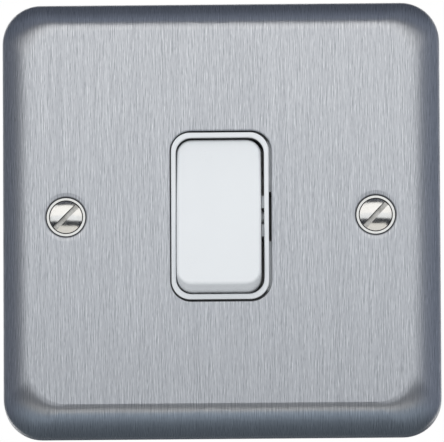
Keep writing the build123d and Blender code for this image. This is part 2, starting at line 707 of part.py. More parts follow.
def earth_block():
    """The earth terminal, riveted to its own strap, which is thinner than the others."""
    half = BLOCK_WIDTH / 2
    body = block(-BLOCK_LENGTH / 2, BLOCK_LENGTH / 2, -half, half, -BLOCK_DEPTH, 0)
    body = fillet(body.edges().filter_by(Axis.Y), BLOCK_EASE)
    body += column(BLOCK_SPIGOT, 0, 0, 0, EARTH_STRAP_THICK + SPIGOT_HEAD)
    body -= axle(WIRE_BORE, -BLOCK_LENGTH, BLOCK_LENGTH, -WIRE_BORE_DROP, 0)
    body -= column(TERMINAL_SCREW + THREAD_CLEARANCE, 0, 0, -BLOCK_DEPTH - 1, -WIRE_BORE_DROP)
    return Pos(EARTH_BLOCK_X, -EARTH_BACK, EARTH_BLOCK_Z) * Rot(0, 90, 0) * body


def earth_strap():
    """Bent strip from a plate stud through the liner to the earth terminal."""
    half = EARTH_STRAP_WIDTH / 2
    thick = EARTH_STRAP_THICK
    foot_back = UNDERSIDE - thick
    body = column(EARTH_FOOT, -STUD_X, -STUD_Z, foot_back, UNDERSIDE)
    body += block(-STUD_X, EARTH_LEG_X, -STUD_Z - half, -STUD_Z + half, foot_back, UNDERSIDE)
    body += block(
        EARTH_LEG_X - thick, EARTH_LEG_X, -STUD_Z - half, -STUD_Z + half, EARTH_BACK, UNDERSIDE
    )
    body += block(
        EARTH_LEG_X - thick,
        EARTH_BLOCK_X + BLOCK_WIDTH / 2,
        -STUD_Z - half,
        -STUD_Z + half,
        EARTH_BACK,
        -PEDESTAL_BEHIND_WALL,
    )
    body -= column(STUD_RADIUS + 0.05, -STUD_X, -STUD_Z, foot_back - 1, UNDERSIDE + 1)
    return body - column(BLOCK_SPIGOT, EARTH_BLOCK_X, EARTH_BLOCK_Z, EARTH_BACK - 1, 1)


def base():
    """Tower round the contact chamber, open terminal cells on one side and two ears."""
    body = slab(
        RectangleRounded(SKIRT_WIDTH, SKIRT_LENGTH, SKIRT_CORNER), FLOOR - FLOOR_THICK, SKIRT_END
    )
    half = SKIRT_LENGTH / 2
    bank = block(BANK_START, BANK_END, -half, half, BANK_BACK, BANK_FRONT)
    bank = fillet(bank.edges().filter_by(Axis.Y), BANK_EASE)
    body += bank
    for side in (-1, 1):
        z = side * MODULE_SCREW_Z
        web = sorted((side * (half - 1), z))
        body += column(EAR_RADIUS, 0, z, SKIRT_END - EAR_THICK, SKIRT_END)
        body += block(-EAR_RADIUS, EAR_RADIUS, web[0], web[1], SKIRT_END - EAR_THICK, SKIRT_END)
        body -= column(EAR_HOLE, 0, z, SKIRT_END - EAR_THICK - 1, SKIRT_END + 1)
    chamber = RectangleRounded(CHAMBER_WIDTH, CHAMBER_LENGTH, CHAMBER_CORNER)
    body -= slab(chamber, FLOOR, SKIRT_END + 1)
    room = STRAP_WIDTH / 2 + STRAP_ROOM
    for side in (-1, 0, 1):
        z = side * CONTACT_Z
        terminal_z = side * TERMINAL_PITCH
        wide = BLOCK_WIDTH / 2 + BLOCK_ROOM
        body -= block(
            CHAMBER_WIDTH / 2 - 1, STRAP_END + STRAP_ROOM, z - room, z + room, FLOOR, STRAP_FRONT + STRAP_ROOM
        )
        body -= block(
            BLOCK_START - BLOCK_ROOM,
            BANK_END + 1,
            terminal_z - wide,
            terminal_z + wide,
            BANK_BACK - 1,
            FLOOR,
        )
        body -= column(
            BLOCK_SPIGOT + 0.2, BLOCK_MIDDLE, terminal_z, FLOOR, STRAP_FRONT + SPIGOT_HEAD + 0.3
        )
    bearing = TRUNNION_RADIUS + BEARING_CLEARANCE
    for side in (-1, 1):
        ends = sorted((side * (TRUNNION_END - POST_THICK), side * TRUNNION_END))
        body += block(
            ends[0],
            ends[1],
            -bearing + POST_CLEARANCE,
            bearing - POST_CLEARANCE,
            SKIRT_END - 0.5,
            PIVOT - TRUNNION_RADIUS - POST_CLEARANCE,
        )
    return body


def base_screws():
    """Pan-head screws through the base's ears into the frame's bosses."""
    screws = []
    seat = SKIRT_END - EAR_THICK
    for side in (-1, 1):
        z = side * MODULE_SCREW_Z
        body = column(BASE_SCREW, 0, z, seat, seat + BASE_SCREW_LENGTH)
        body += column(BASE_SCREW_HEAD, 0, z, seat - BASE_HEAD_RISE, seat)
        arm = BASE_SCREW_HEAD * 0.55
        for x0, z0 in ((arm, 0.3), (0.3, arm)):
            body -= block(-x0, x0, z - z0, z + z0, seat - BASE_HEAD_RISE - 1, seat - BASE_HEAD_RISE + 0.9)
        screws.append(module(body))
    return screws


save("plate", plate())
save("fixing_screw_left", fixing_screw(-1, LEFT_SLOT_TURN))
save("fixing_screw_right", fixing_screw(1, RIGHT_SLOT_TURN))
save("screw_retainers", retainers())
save("plate_liner", liner())
save("push_nuts", push_nuts())
save("earth_strap", earth_strap())
save("earth_terminal", earth_block())
save("earth_screw", to_earth(terminal_screw()))
save("rocker_frame", module(frame()))
save("rocker", floated(rocker()))
save("plunger", floated(plunger()))
save("plunger_spring", floated(plunger_spring()))
save("contact_lever", module(lever()))
save("moving_tips", [module(tip) for tip in moving_tips()])
save("fixed_tips", fixed_tips())
save("common_strap", module(common_strap()))
save("line_one_strap", module(line_strap(1)))
save("line_two_strap", module(line_strap(-1)))
save("common_terminal", module(terminal_block()))
save("line_one_terminal", module(Pos(0, 0, TERMINAL_PITCH) * terminal_block()))
save("line_two_terminal", module(Pos(0, 0, -TERMINAL_PITCH) * terminal_block()))
save("terminal_screws", [
    module(Pos(0, 0, step * TERMINAL_PITCH) * terminal_screw()) for step in (-1, 0, 1)
])
save("module_base", module(base()))
save("base_screws", base_screws())
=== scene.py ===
import json
import math

import bmesh
import bpy
from mathutils import Matrix, Vector


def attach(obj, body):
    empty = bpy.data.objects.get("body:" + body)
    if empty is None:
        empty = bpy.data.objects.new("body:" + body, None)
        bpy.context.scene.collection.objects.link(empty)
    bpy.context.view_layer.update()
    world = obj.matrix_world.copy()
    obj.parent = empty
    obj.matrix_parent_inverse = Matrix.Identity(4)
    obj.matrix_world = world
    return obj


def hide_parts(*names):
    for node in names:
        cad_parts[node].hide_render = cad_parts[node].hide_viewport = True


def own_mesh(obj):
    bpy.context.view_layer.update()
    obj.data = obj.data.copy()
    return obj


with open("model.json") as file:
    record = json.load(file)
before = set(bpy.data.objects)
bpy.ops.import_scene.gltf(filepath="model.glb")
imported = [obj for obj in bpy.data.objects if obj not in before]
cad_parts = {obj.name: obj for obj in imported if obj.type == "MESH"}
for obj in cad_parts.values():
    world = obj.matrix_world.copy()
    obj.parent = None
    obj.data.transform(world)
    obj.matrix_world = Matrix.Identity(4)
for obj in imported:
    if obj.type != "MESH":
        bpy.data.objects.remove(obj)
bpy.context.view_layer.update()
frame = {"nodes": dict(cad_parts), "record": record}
nodes = frame["nodes"]
slots = {part["node"]: part["material_slot"] for part in frame["record"]["subparts"]}
scene = bpy.context.scene
MM = 0.001

APERTURE_X = 9.8 * MM
APERTURE_Z = 16.7 * MM
APERTURE_CORNER = 4.0 * MM
FACE_HALF = 36.8 * MM
FACE_CORNER = 6.5 * MM
SCREW_X = 30.15 * MM
SINK_EDGE = 3.96 * MM
SURROUND_X = -0.15 * MM
SURROUND_FRONT = -9.35 * MM

# Painted shade on the plate: the bends are painted a little darker.
BEND_REACH = (0.5 * MM, 2.8 * MM)
BEND_SHADE = 0.2
# Painted shade in the gap round the aperture: its cut edge is painted dark, fainter on the right.
APERTURE_SHADE_REACH = (0.02 * MM, 0.17 * MM)
APERTURE_SHADE_RIGHT_X = (9.2 * MM, 9.7 * MM)
APERTURE_SHADE_RIGHT_SHARE = 0.35
# Painted shade: a dark ring painted round the edge of each screw seat.
SEAT_REACH = (SINK_EDGE - 0.02 * MM, SINK_EDGE + 0.28 * MM)
ACROSS_BRUSHING = (1.0, 0.15, 0.0)
STROKE_SCALE = (6000, 500, 330)
STROKE_STEP = 1.1
FADING_SCALE = (3600, 640, 800)
STROKE_GAIN = 0.78
STROKE_BASE = 0.40
BROAD_GAIN = 0.20

# Painted shade down the surround's gaps: where it starts, how deep it fades in, and where it is lighter on
# the ribs and gone past the notch.
GAP_SHADE_WITHIN = (0.0, 0.2 * MM)
GAP_SHADE_DEPTH = (SURROUND_FRONT + 0.35 * MM, SURROUND_FRONT + 0.95 * MM)
RIB_START_X = (7.2 * MM, 7.4 * MM)
LEDGE_START_X = (8.9 * MM, 9.1 * MM)
RIB_MIDDLE = 2.8 * MM
RIB_HALF = (1.15 * MM, 1.3 * MM)
RIB_SHADE_CUT = 0.72
NOTCH_END = (4.8 * MM, 4.9 * MM)


class Nodes:
    """A short way to add and join the nodes of one material."""

    def __init__(self, name):
        self.material = bpy.data.materials.new(name)
        self.material.use_nodes = True
        self.tree = self.material.node_tree
        self.shader = self.tree.nodes["Principled BSDF"]
        self.coord = self.add("ShaderNodeTexCoord").outputs["Object"]

    def add(self, kind, **settings):
        node = self.tree.nodes.new(kind)
        for key, value in settings.items():
            setattr(node, key, value)
        return node

    def join(self, source, target):
        self.tree.links.new(source, target)

    def noise(self, scale, detail=3.0, rough=0.5, shift=(0, 0, 0)):
        """Noise with so many features to a metre along X, Y and Z."""
        place = self.add("ShaderNodeMapping")
        place.inputs["Location"].default_value = shift
        place.inputs["Scale"].default_value = scale
        self.join(self.coord, place.inputs["Vector"])
        node = self.add("ShaderNodeTexNoise")
        node.inputs["Scale"].default_value = 1.0
        node.inputs["Detail"].default_value = detail
        node.inputs["Roughness"].default_value = rough
        self.join(place.outputs["Vector"], node.inputs["Vector"])
        return node.outputs["Fac"]

    def ramp(self, value, low, high, low_value=0.0, high_value=1.0):
        """A value from low to high turned into low_value to high_value, held at both ends."""
        node = self.add("ShaderNodeMapRange")
        node.inputs["From Min"].default_value = low
        node.inputs["From Max"].default_value = high
        node.inputs["To Min"].default_value = low_value
        node.inputs["To Max"].default_value = high_value
        self.join(value, node.inputs["Value"])
        return node.outputs["Result"]

    def math(self, operation, first, second=0.0):
        """One sum on numbers or outputs."""
        node = self.add("ShaderNodeMath", operation=operation)
        for index, value in enumerate((first, second)):
            if isinstance(value, (int, float)):
                node.inputs[index].default_value = value
            else:
                self.join(value, node.inputs[index])
        return node.outputs["Value"]

    def blend(self, share, first, second):
        """Two colours mixed by a share of the second; the node's colour inputs are 6 and 7."""
        node = self.add("ShaderNodeMix", data_type="RGBA")
        self.join(share, node.inputs["Factor"])
        for index, value in ((6, first), (7, second)):
            if isinstance(value, tuple):
                node.inputs[index].default_value = (*value, 1)
            else:
                self.join(value, node.inputs[index])
        return node.outputs[2]

    def bump(self, height, strength, distance):
        node = self.add("ShaderNodeBump")
        node.inputs["Strength"].default_value = strength
        node.inputs["Distance"].default_value = distance
        self.join(height, node.inputs["Height"])
        self.join(node.outputs["Normal"], self.shader.inputs["Normal"])

    def place(self):
        """Object-space X, Y and Z, as three outputs."""
        split = self.add("ShaderNodeSeparateXYZ")
        self.join(self.coord, split.inputs[0])
        return split.outputs["X"], split.outputs["Y"], split.outputs["Z"]

    def length(self, first, second):
        """Length of a line from its parts along two axes."""
        squares = self.math("ADD", self.math("MULTIPLY", first, first), self.math("MULTIPLY", second, second))
        return self.math("SQRT", squares)

    def past_outline(self, half_x, half_z, corner):
        """Distance past a rounded rectangle's outline, seen along Y; negative inside it."""
        x, _, z = self.place()
        over_x = self.math("SUBTRACT", self.math("ABSOLUTE", x), half_x - corner)
        over_z = self.math("SUBTRACT", self.math("ABSOLUTE", z), half_z - corner)
        outside = self.length(self.math("MAXIMUM", over_x, 0.0), self.math("MAXIMUM", over_z, 0.0))
        inside = self.math("MINIMUM", self.math("MAXIMUM", over_x, over_z), 0.0)
        return self.math("SUBTRACT", self.math("ADD", outside, inside), corner)

    def from_axis(self, centre_x):
        """Distance from an axis along Y at the given X, on either side of the plate."""
        x, _, z = self.place()
        return self.length(self.math("SUBTRACT", self.math("ABSOLUTE", x), centre_x), z)

    def colour(self, output):
        self.join(output, self.shader.inputs["Base Color"])

    def rough(self, output):
        self.join(output, self.shader.inputs["Roughness"])

    def plain(self, **values):
        for key, value in values.items():
            self.shader.inputs[key].default_value = value


def brush_strokes(n, seed):
    """Straight upright hairlines about 0.2 mm apart, each fading in and out along its length."""
    line = n.noise(STROKE_SCALE, detail=0.0, shift=(seed, 0, 0))
    beside = n.noise(STROKE_SCALE, detail=0.0, shift=(seed + STROKE_STEP, 0, 0))
    strength = n.noise(FADING_SCALE, detail=1.0, shift=(seed, 7, 3))
    return n.math("MULTIPLY", n.math("SUBTRACT", line, beside), n.ramp(strength, 0.35, 0.68))


def brushed_steel(name):
    """Satin steel with short upright brush marks and a few fainter broad ones.

    The bends are painted a little darker, as painted shade. The cut edge round the aperture is painted
    dark as painted shade in the gap, less so on the right, and so are the edges of the two screw seats."""
    n = Nodes(name)
    first = brush_strokes(n, 0.0)
    second = brush_strokes(n, 31.0)
    broad = n.noise((900, 40, 30), detail=2.0, shift=(9, 1, 0))
    marks = n.math("ADD", n.math("MULTIPLY", n.math("ADD", first, second), STROKE_GAIN), STROKE_BASE)
    marks = n.math("ADD", marks, n.math("MULTIPLY", broad, BROAD_GAIN))
    steel = n.blend(n.ramp(marks, 0.20, 0.80), (0.50, 0.515, 0.54), (0.83, 0.84, 0.86))
    # painted shade: the bends are painted a little darker
    bend_shade_share = n.ramp(n.past_outline(FACE_HALF, FACE_HALF, FACE_CORNER), *BEND_REACH, 0.0, BEND_SHADE)
    steel = n.blend(bend_shade_share, steel, (0.0, 0.0, 0.0))
    # painted shade: the cut edge round the aperture is painted dark, fainter on the right
    aperture_shade = n.ramp(n.past_outline(APERTURE_X, APERTURE_Z, APERTURE_CORNER), *APERTURE_SHADE_REACH, 1.0, 0.0)
    across_x, _, _ = n.place()
    aperture_shade = n.math("MULTIPLY", aperture_shade, n.ramp(across_x, *APERTURE_SHADE_RIGHT_X, 1.0, APERTURE_SHADE_RIGHT_SHARE))
    # painted shade: the edge of each screw seat is painted dark
    seat_shade = n.ramp(n.from_axis(SCREW_X), *SEAT_REACH, 1.0, 0.0)
    # the near-black colour of the painted shade at the aperture edge and the screw seats
    n.colour(n.blend(n.math("MAXIMUM", aperture_shade, seat_shade), steel, (0.10, 0.105, 0.115)))
    n.rough(n.ramp(marks, 0.3, 0.7, 0.43, 0.36))
    n.bump(marks, 0.3, 0.02 * MM)
    n.plain(Metallic=1.0, Anisotropic=0.75)
    across = n.add("ShaderNodeCombineXYZ")
    for axis, value in zip("XYZ", ACROSS_BRUSHING):
        across.inputs[axis].default_value = value
    n.join(across.outputs["Vector"], n.shader.inputs["Tangent"])
    return n.material


def metal(name, dark, light, rough, scratch, grain, stretch=(1, 1, 1), depth=0.01 * MM):
    """Plated, cut or polished metal with handling marks."""
    n = Nodes(name)
    cloud = n.noise((grain * 0.16,) * 3, detail=4.0)
    marks = n.noise(tuple(grain * share for share in stretch), detail=5.0, rough=0.65, shift=(2, 5, 1))
    both = n.math("ADD", n.math("MULTIPLY", cloud, 0.55), n.math("MULTIPLY", marks, 0.45))
    n.colour(n.blend(n.ramp(both, 0.35, 0.65), dark, light))
    n.rough(n.ramp(marks, 0.3, 0.7, rough * 0.75, rough * 1.3))
    n.bump(marks, scratch, depth)
    n.plain(Metallic=1.0)
    return n.material


def gap_shade_share(n):
    """How much painted shade lies on the surround: none on its front, all of it down its gaps.

    On the right the painted shade is lighter on the ribs, and the outer ledge has none past the notch."""
    x, y, z = n.place()
    within = n.ramp(n.past_outline(APERTURE_X, APERTURE_Z, APERTURE_CORNER), *GAP_SHADE_WITHIN, 1.0, 0.0)
    down = n.ramp(y, *GAP_SHADE_DEPTH)
    from_middle = n.math("ABSOLUTE", z)
    from_rib = n.math("ABSOLUTE", n.math("SUBTRACT", from_middle, RIB_MIDDLE))
    beside_rocker = n.math("MULTIPLY", n.ramp(x, *RIB_START_X), n.ramp(x, *LEDGE_START_X, 1.0, 0.0))
    rib_shade_cut = n.math("MULTIPLY", beside_rocker, n.ramp(from_rib, *RIB_HALF, RIB_SHADE_CUT, 0.0))
    ledge_shade_cut = n.math("MULTIPLY", n.ramp(x, *LEDGE_START_X), n.ramp(from_middle, *NOTCH_END))
    shaded_share = n.math("SUBTRACT", n.math("SUBTRACT", 1.0, rib_shade_cut), ledge_shade_cut)
    return n.math("MULTIPLY", n.math("MULTIPLY", within, down), shaded_share)


def plastic(name, dark, light, rough, grain, relief, gap_shade=()):
    """Moulded plastic: a slight tone drift, the tool's fine texture and uneven gloss.

    gap_shade is the colour of the painted shade down the surround's gaps."""
    n = Nodes(name)
    drift = n.noise((60, 60, 60), detail=3.0)
    texture = n.noise((grain,) * 3, detail=4.0, rough=0.6, shift=(1, 2, 3))
    tone = n.blend(n.ramp(drift, 0.3, 0.7), dark, light)
    # painted shade down the gaps, when a colour for it is given
    if gap_shade:
        tone = n.blend(gap_shade_share(n), tone, gap_shade)
    n.colour(tone)
    uneven = n.math("ADD", n.math("MULTIPLY", drift, 0.6), n.math("MULTIPLY", texture, 0.4))
    n.rough(n.ramp(uneven, 0.3, 0.7, rough * 0.85, rough * 1.15))
    n.bump(texture, relief, 0.02 * MM)
    n.plain(Metallic=0.0)
    return n.material


WHITE_PLASTIC = dict(
    dark=(0.77, 0.80, 0.825), light=(0.79, 0.82, 0.845), rough=0.30, grain=5200.0, relief=0.06,
)

MATERIALS = {
    "brushed_plate": brushed_steel("brushed_plate"),
    "screw_plating": metal(
        "screw_plating", (0.80, 0.785, 0.745), (0.88, 0.865, 0.83), rough=0.13, scratch=0.12, grain=1600.0,
    ),
    "white_moulding": plastic("white_moulding", **WHITE_PLASTIC),
    "base_moulding": plastic(
        "base_moulding", (0.70, 0.70, 0.67), (0.76, 0.76, 0.73), rough=0.52, grain=3200.0, relief=0.25,
    ),
    "black_moulding": plastic(
        "black_moulding", (0.022, 0.022, 0.024), (0.034, 0.034, 0.036), rough=0.48, grain=2600.0, relief=0.35,
    ),
    "brass": metal(
        "brass", (0.66, 0.47, 0.20), (0.80, 0.62, 0.31), rough=0.27, scratch=0.2, grain=1400.0,
        stretch=(1, 1, 0.12),
    ),
    "silver_contact": metal(
        "silver_contact", (0.78, 0.77, 0.73), (0.90, 0.89, 0.86), rough=0.22, scratch=0.15, grain=2400.0,
    ),
    "zinc_steel": metal(
        "zinc_steel", (0.52, 0.54, 0.56), (0.70, 0.71, 0.72), rough=0.30, scratch=0.2, grain=1500.0,
    ),
    "natural_nylon": plastic(
        "natural_nylon", (0.72, 0.69, 0.58), (0.78, 0.75, 0.65), rough=0.42, grain=2600.0, relief=0.2,
    ),
    "soft_collar": plastic(
        "soft_collar", (0.05, 0.05, 0.055), (0.08, 0.08, 0.085), rough=0.7, grain=2200.0, relief=0.4,
    ),
}
# White surround plastic with painted shade, dark grey, down its gaps.
SURROUND_WHITE = plastic("surround_white", gap_shade=(0.16, 0.165, 0.17), **WHITE_PLASTIC)
SLOT_CUT = metal(
    "slot_cut", (0.42, 0.405, 0.375), (0.80, 0.78, 0.74), rough=0.34, scratch=0.5, grain=3800.0,
    depth=0.03 * MM,
)
# Painted shade: a near-black metal for the screw head's groove, slot walls and outer wall, where shade falls.
CREVICE_SHADE = metal("crevice_shade", (0.04, 0.038, 0.034), (0.09, 0.085, 0.078), rough=0.55, scratch=0.4, grain=3800.0)

for name, node in nodes.items():
    node.data.materials.clear()
    node.data.materials.append(SURROUND_WHITE if name == "rocker_frame" else MATERIALS[slots[name]])

WELD_REACH = 0.002 * MM
SHARP_ANGLE = math.radians(50)


def worn_edges(names, width):
    """A small rounded edge on the sharp moulded or sawn edges of the named nodes."""
    for name in names:
        join = nodes[name].modifiers.new("join_corners", "WELD")
        join.merge_threshold = WELD_REACH
        edge = nodes[name].modifiers.new("worn_edge", "BEVEL")
        edge.width = width
        edge.segments = 2
        edge.limit_method = "ANGLE"
        edge.angle_limit = SHARP_ANGLE
        edge.use_clamp_overlap = True
        edge.harden_normals = True


worn_edges(("module_base",), 0.25 * MM)
worn_edges(("common_terminal", "line_one_terminal", "line_two_terminal", "earth_terminal"), 0.12 * MM)


def add_object(name, data):
    """A new object in the scene's own collection."""
    made = bpy.data.objects.new(name, data)
    scene.collection.objects.link(made)
    return made


SCREW_RADIUS = 1.75 * MM
SCREW_ROOT = 1.42 * MM
SCREW_PITCH = 0.6 * MM
SCREW_TIP = 16.0 * MM
NECK_END = -0.35 * MM
THREAD_FRONT = NECK_END - 0.05 * MM
THREAD_AROUND = 40
THREAD_ROWS = 10
FADE_FRONT = 0.9 * SCREW_PITCH
FADE_TIP = 0.7 * SCREW_PITCH
CREST_FLAT = 1.25
SLOT_FLOOR = -8.55 * MM
FLOOR_NEAR = 0.06 * MM
CROWN_SPAN = 3.115 * MM
GROOVE_SPAN = 3.33 * MM
HEAD_EDGE = 3.7 * MM
PLATED = 0
SAWN = 1
# DARK marks the faces painted near-black as painted shade.
DARK = 2


def thread_rings():
    """Rings of points for a V thread along +Y on its own axis, fading out at both ends."""
    length = SCREW_TIP - THREAD_FRONT
    rows = round(length / SCREW_PITCH * THREAD_ROWS)
    rings = []
    for row in range(rows + 1):
        y = THREAD_FRONT + length * row / rows
        fade = max(0.0, min(1.0, (y - THREAD_FRONT) / FADE_FRONT, (SCREW_TIP - y) / FADE_TIP))
        ring = []
        for step in range(THREAD_AROUND):
            phase = (y / SCREW_PITCH - step / THREAD_AROUND) % 1.0
            rise = 1.0 - abs(2.0 * phase - 1.0)
            reach = SCREW_ROOT + (SCREW_RADIUS - SCREW_ROOT) * min(1.0, CREST_FLAT * rise) * fade
            turn = 2 * math.pi * step / THREAD_AROUND
            ring.append((reach * math.cos(turn), y, reach * math.sin(turn)))
        rings.append(ring)
    return rings


def add_thread(mesh, centre_x):
    """Skin the thread's rings and close both ends."""
    made = [[mesh.verts.new((x + centre_x, y, z)) for x, y, z in ring] for ring in thread_rings()]
    for lower, upper in zip(made, made[1:]):
        for step in range(THREAD_AROUND):
            after = (step + 1) % THREAD_AROUND
            face = mesh.faces.new((lower[step], upper[step], upper[after], lower[after]))
            face.smooth = True
    mesh.faces.new(made[0])
    mesh.faces.new(made[-1])


def screw_finish(face, centre_x):
    """Which of the screw's finishes a face of its head has: plated, sawn, or dark as painted shade."""
    middle = face.calc_center_median()
    radius = math.hypot(middle.x - centre_x, middle.z)
    upright = abs(face.normal.y) < 0.2
    if radius < CROWN_SPAN:
        if upright:
            return DARK
        on_floor = face.normal.y < -0.9 and abs(middle.y - SLOT_FLOOR) < FLOOR_NEAR
        return SAWN if on_floor else PLATED
    if radius < GROOVE_SPAN or (radius > HEAD_EDGE and upright):
        return DARK
    return PLATED


def fixing_screw(name, side):
    """The head and neck as built, with the slot's machined faces marked and a real thread behind."""
    centre_x = side * SCREW_X
    mesh = bmesh.new()
    mesh.from_mesh(nodes[name].data)
    shank = [face for face in mesh.faces if face.calc_center_median().y > NECK_END]
    bmesh.ops.delete(mesh, geom=shank, context="FACES")
    for face in mesh.faces:
        face.material_index = screw_finish(face, centre_x)
    add_thread(mesh, centre_x)
    data = bpy.data.meshes.new(name + "_threaded")
    mesh.to_mesh(data)
    mesh.free()
    for material in (MATERIALS["screw_plating"], SLOT_CUT, CREVICE_SHADE):
        data.materials.append(material)
    made = add_object(name + "_threaded", data)
    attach(made, "switch_body")
    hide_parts(name)


fixing_screw("fixing_screw_left", -1)
fixing_screw("fixing_screw_right", 1)

PIVOT_Y = -6.0 * MM
ROCKER_TILT = math.radians(8.0)
ROCKER_X = -0.38 * MM
ROCKER_HALF = 8.24 * MM
ROCKER_RADIUS = 15.25 * MM
ROCKER_CORNERS = (2.1 * MM, 3.0 * MM)
ROCKER_FALL = 1.1 * MM
OPENING_HALF_X = 8.6 * MM
OPENING_HALF_Z = 15.4 * MM
OPENING_CORNERS = (2.4 * MM, 3.1 * MM)
OPENING_FALL = 0.7 * MM


def rounder(across, along, old, new, fall):
    """Shift a point near a corner so that a corner of radius old gets radius new.

    across and along are measured from the new corner's centre, both outwards."""
    if across <= 0 or along <= 0:
        return across, along
    reach = math.hypot(across, along)
    ux = across / reach
    uz = along / reach
    step = new - old
    middle = (ux + uz) * step
    arc = middle + math.sqrt(middle * middle - 2 * step * step + old * old)
    on_arc = min(arc * ux, arc * uz) >= step
    outline = arc if on_arc else new / max(ux, uz)
    share = max(0.0, 1.0 - abs(reach - outline) / fall)
    moved = reach - (outline - new) * share
    return moved * ux, moved * uz


def round_corners(mesh, centre_x, half_x, half_z, corners, fall):
    """Give the four upright corners of a mesh a larger radius; half_z is a function of Y."""
    old, new = corners
    across = Vector((1, 0, 0))
    upward = Vector((0, 0, 1))
    level_z = half_z(PIVOT_Y)
    cuts = (
        (across, centre_x - half_x + new), (across, centre_x + half_x - new),
        (upward, new - level_z), (upward, level_z - new),
    )
    for normal, place in cuts:
        everything = mesh.verts[:] + mesh.edges[:] + mesh.faces[:]
        bmesh.ops.bisect_plane(mesh, geom=everything, plane_co=normal * place, plane_no=normal)
    for vert in mesh.verts:
        x = vert.co.x - centre_x
        z = vert.co.z
        corner_x = half_x - new
        corner_z = half_z(vert.co.y) - new
        past_x, past_z = rounder(abs(x) - corner_x, abs(z) - corner_z, old, new, fall)
        vert.co.x = centre_x + math.copysign(corner_x + past_x, x)
        vert.co.z = math.copysign(corner_z + past_z, z)


def rocker_reach(y):
    """Half-length of the level rocker at a depth, from the arc that its ends sweep."""
    return math.sqrt(max(0.0, ROCKER_RADIUS ** 2 - (y - PIVOT_Y) ** 2))


def opening_reach(y):
    """Half-length of the surround's opening, the same at every depth."""
    return OPENING_HALF_Z


def softened(name, body, turn, *shape):
    """The node's own mesh with rounder corners, shown in its place; shape is what round_corners takes."""
    pivot = Matrix.Translation((0, PIVOT_Y, 0))
    level = pivot @ Matrix.Rotation(turn, 4, "X") @ pivot.inverted()
    mesh = bmesh.new()
    mesh.from_mesh(nodes[name].data)
    mesh.transform(level)
    round_corners(mesh, *shape)
    mesh.transform(level.inverted())
    data = nodes[name].data.copy()
    mesh.to_mesh(data)
    mesh.free()
    made = add_object(name + "_rounded", data)
    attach(made, body)
    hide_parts(name)


softened("rocker", "rocker", ROCKER_TILT, ROCKER_X, ROCKER_HALF, rocker_reach, ROCKER_CORNERS, ROCKER_FALL)
softened(
    "rocker_frame", "switch_body", 0.0, SURROUND_X, OPENING_HALF_X, opening_reach, OPENING_CORNERS,
    OPENING_FALL,
)


def sprung_coil():
    """A copy of the plunger spring's coil that rides on the rocker, in place of the built one."""
    data = nodes["plunger_spring"].data.copy()
    made = add_object("plunger_spring_coil", data)
    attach(made, "rocker")
    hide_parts("plunger_spring")
    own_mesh(made)


sprung_coil()


def stepped_level(tree, steps):
    """A level that follows steps of (place along Y in metres, level), as an output of the tree."""
    first = steps[0][0]
    last = steps[-1][0]
    coord = tree.nodes.new("ShaderNodeTexCoord")
    split = tree.nodes.new("ShaderNodeSeparateXYZ")
    places = tree.nodes.new("ShaderNodeMapRange")
    places.inputs["From Min"].default_value = first
    places.inputs["From Max"].default_value = last
    curve = tree.nodes.new("ShaderNodeFloatCurve")
    points = curve.mapping.curves[0].points
    points[0].location = (0, steps[0][1])
    points[1].location = (1, steps[-1][1])
    for place, level in steps[1:-1]:
        points.new((place - first) / (last - first), level)
    curve.mapping.update()
    tree.links.new(coord.outputs["Object"], split.inputs[0])
    tree.links.new(split.outputs["Y"], places.inputs["Value"])
    tree.links.new(places.outputs[0], curve.inputs["Value"])
    return curve.outputs[0]


def glow(name, colour, level=0.0, steps=()):
    """A panel's glow: one level all over, or steps of (place along Y in metres, level)."""
    made = bpy.data.materials.new(name)
    made.use_nodes = True
    tree = made.node_tree
    tree.nodes.clear()
    light = tree.nodes.new("ShaderNodeEmission")
    light.inputs["Color"].default_value = (*colour, 1)
    light.inputs["Strength"].default_value = level
    out = tree.nodes.new("ShaderNodeOutputMaterial")
    tree.links.new(light.outputs[0], out.inputs["Surface"])
    if steps:
        tree.links.new(stepped_level(tree, steps), light.inputs["Strength"])
    return made


def panel(name, centre, across, up, material, diffuse=False):
    """A flat stage panel from its centre and two half-edges, unseen by the camera."""
    c = Vector(centre)
    a = Vector(across)
    u = Vector(up)
    mesh = bpy.data.meshes.new(name)
    mesh.from_pydata([c - a - u, c + a - u, c + a + u, c - a + u], [], [(0, 1, 2, 3)])
    mesh.materials.append(material)
    made = add_object(name, mesh)
    made.visible_camera = False
    made.visible_diffuse = diffuse
    made.visible_shadow = False


# What the steel and the screws reflect: dark flags all round and a bright table below.
WARM = (1.0, 0.985, 0.95)
BLUISH = (0.70, 0.79, 1.0)
FLAG_HALF = 0.55
FLAG_SPAN = (-1.2, 0.85)
TOP_STEPS = (
    (-1.2, 0.04), (-0.62, 0.07), (-0.47, 0.33), (-0.33, 0.31), (-0.17, 0.26), (0.0, 0.18), (0.19, 0.165),
    (0.44, 0.14), (0.85, 0.14),
)
LEFT_STEPS = ((-1.2, 0.06), (-0.72, 0.06), (-0.6, 0.143), (0.85, 0.165))
RIGHT_STEPS = ((-1.2, 0.06), (-0.72, 0.06), (-0.6, 0.25), (0.85, 0.235))
UNDER_STEPS = (
    (-1.2, 0.48), (-0.95, 0.48), (-0.65, 0.50), (-0.5, 0.52), (-0.3, 0.45), (-0.1, 0.26), (0.05, 0.19),
    (0.2, 0.165), (2.5, 0.175),
)
flag_y = sum(FLAG_SPAN) / 2
along_y = (0, (FLAG_SPAN[1] - FLAG_SPAN[0]) / 2, 0)
wide = (FLAG_HALF, 0, 0)
tall = (0, 0, 0.45)
top_glow = glow("glow_top", BLUISH, steps=TOP_STEPS)
left_glow = glow("glow_left", BLUISH, steps=LEFT_STEPS)
right_glow = glow("glow_right", BLUISH, steps=RIGHT_STEPS)
under_glow = glow("glow_under", (0.72, 0.85, 1.0), steps=UNDER_STEPS)
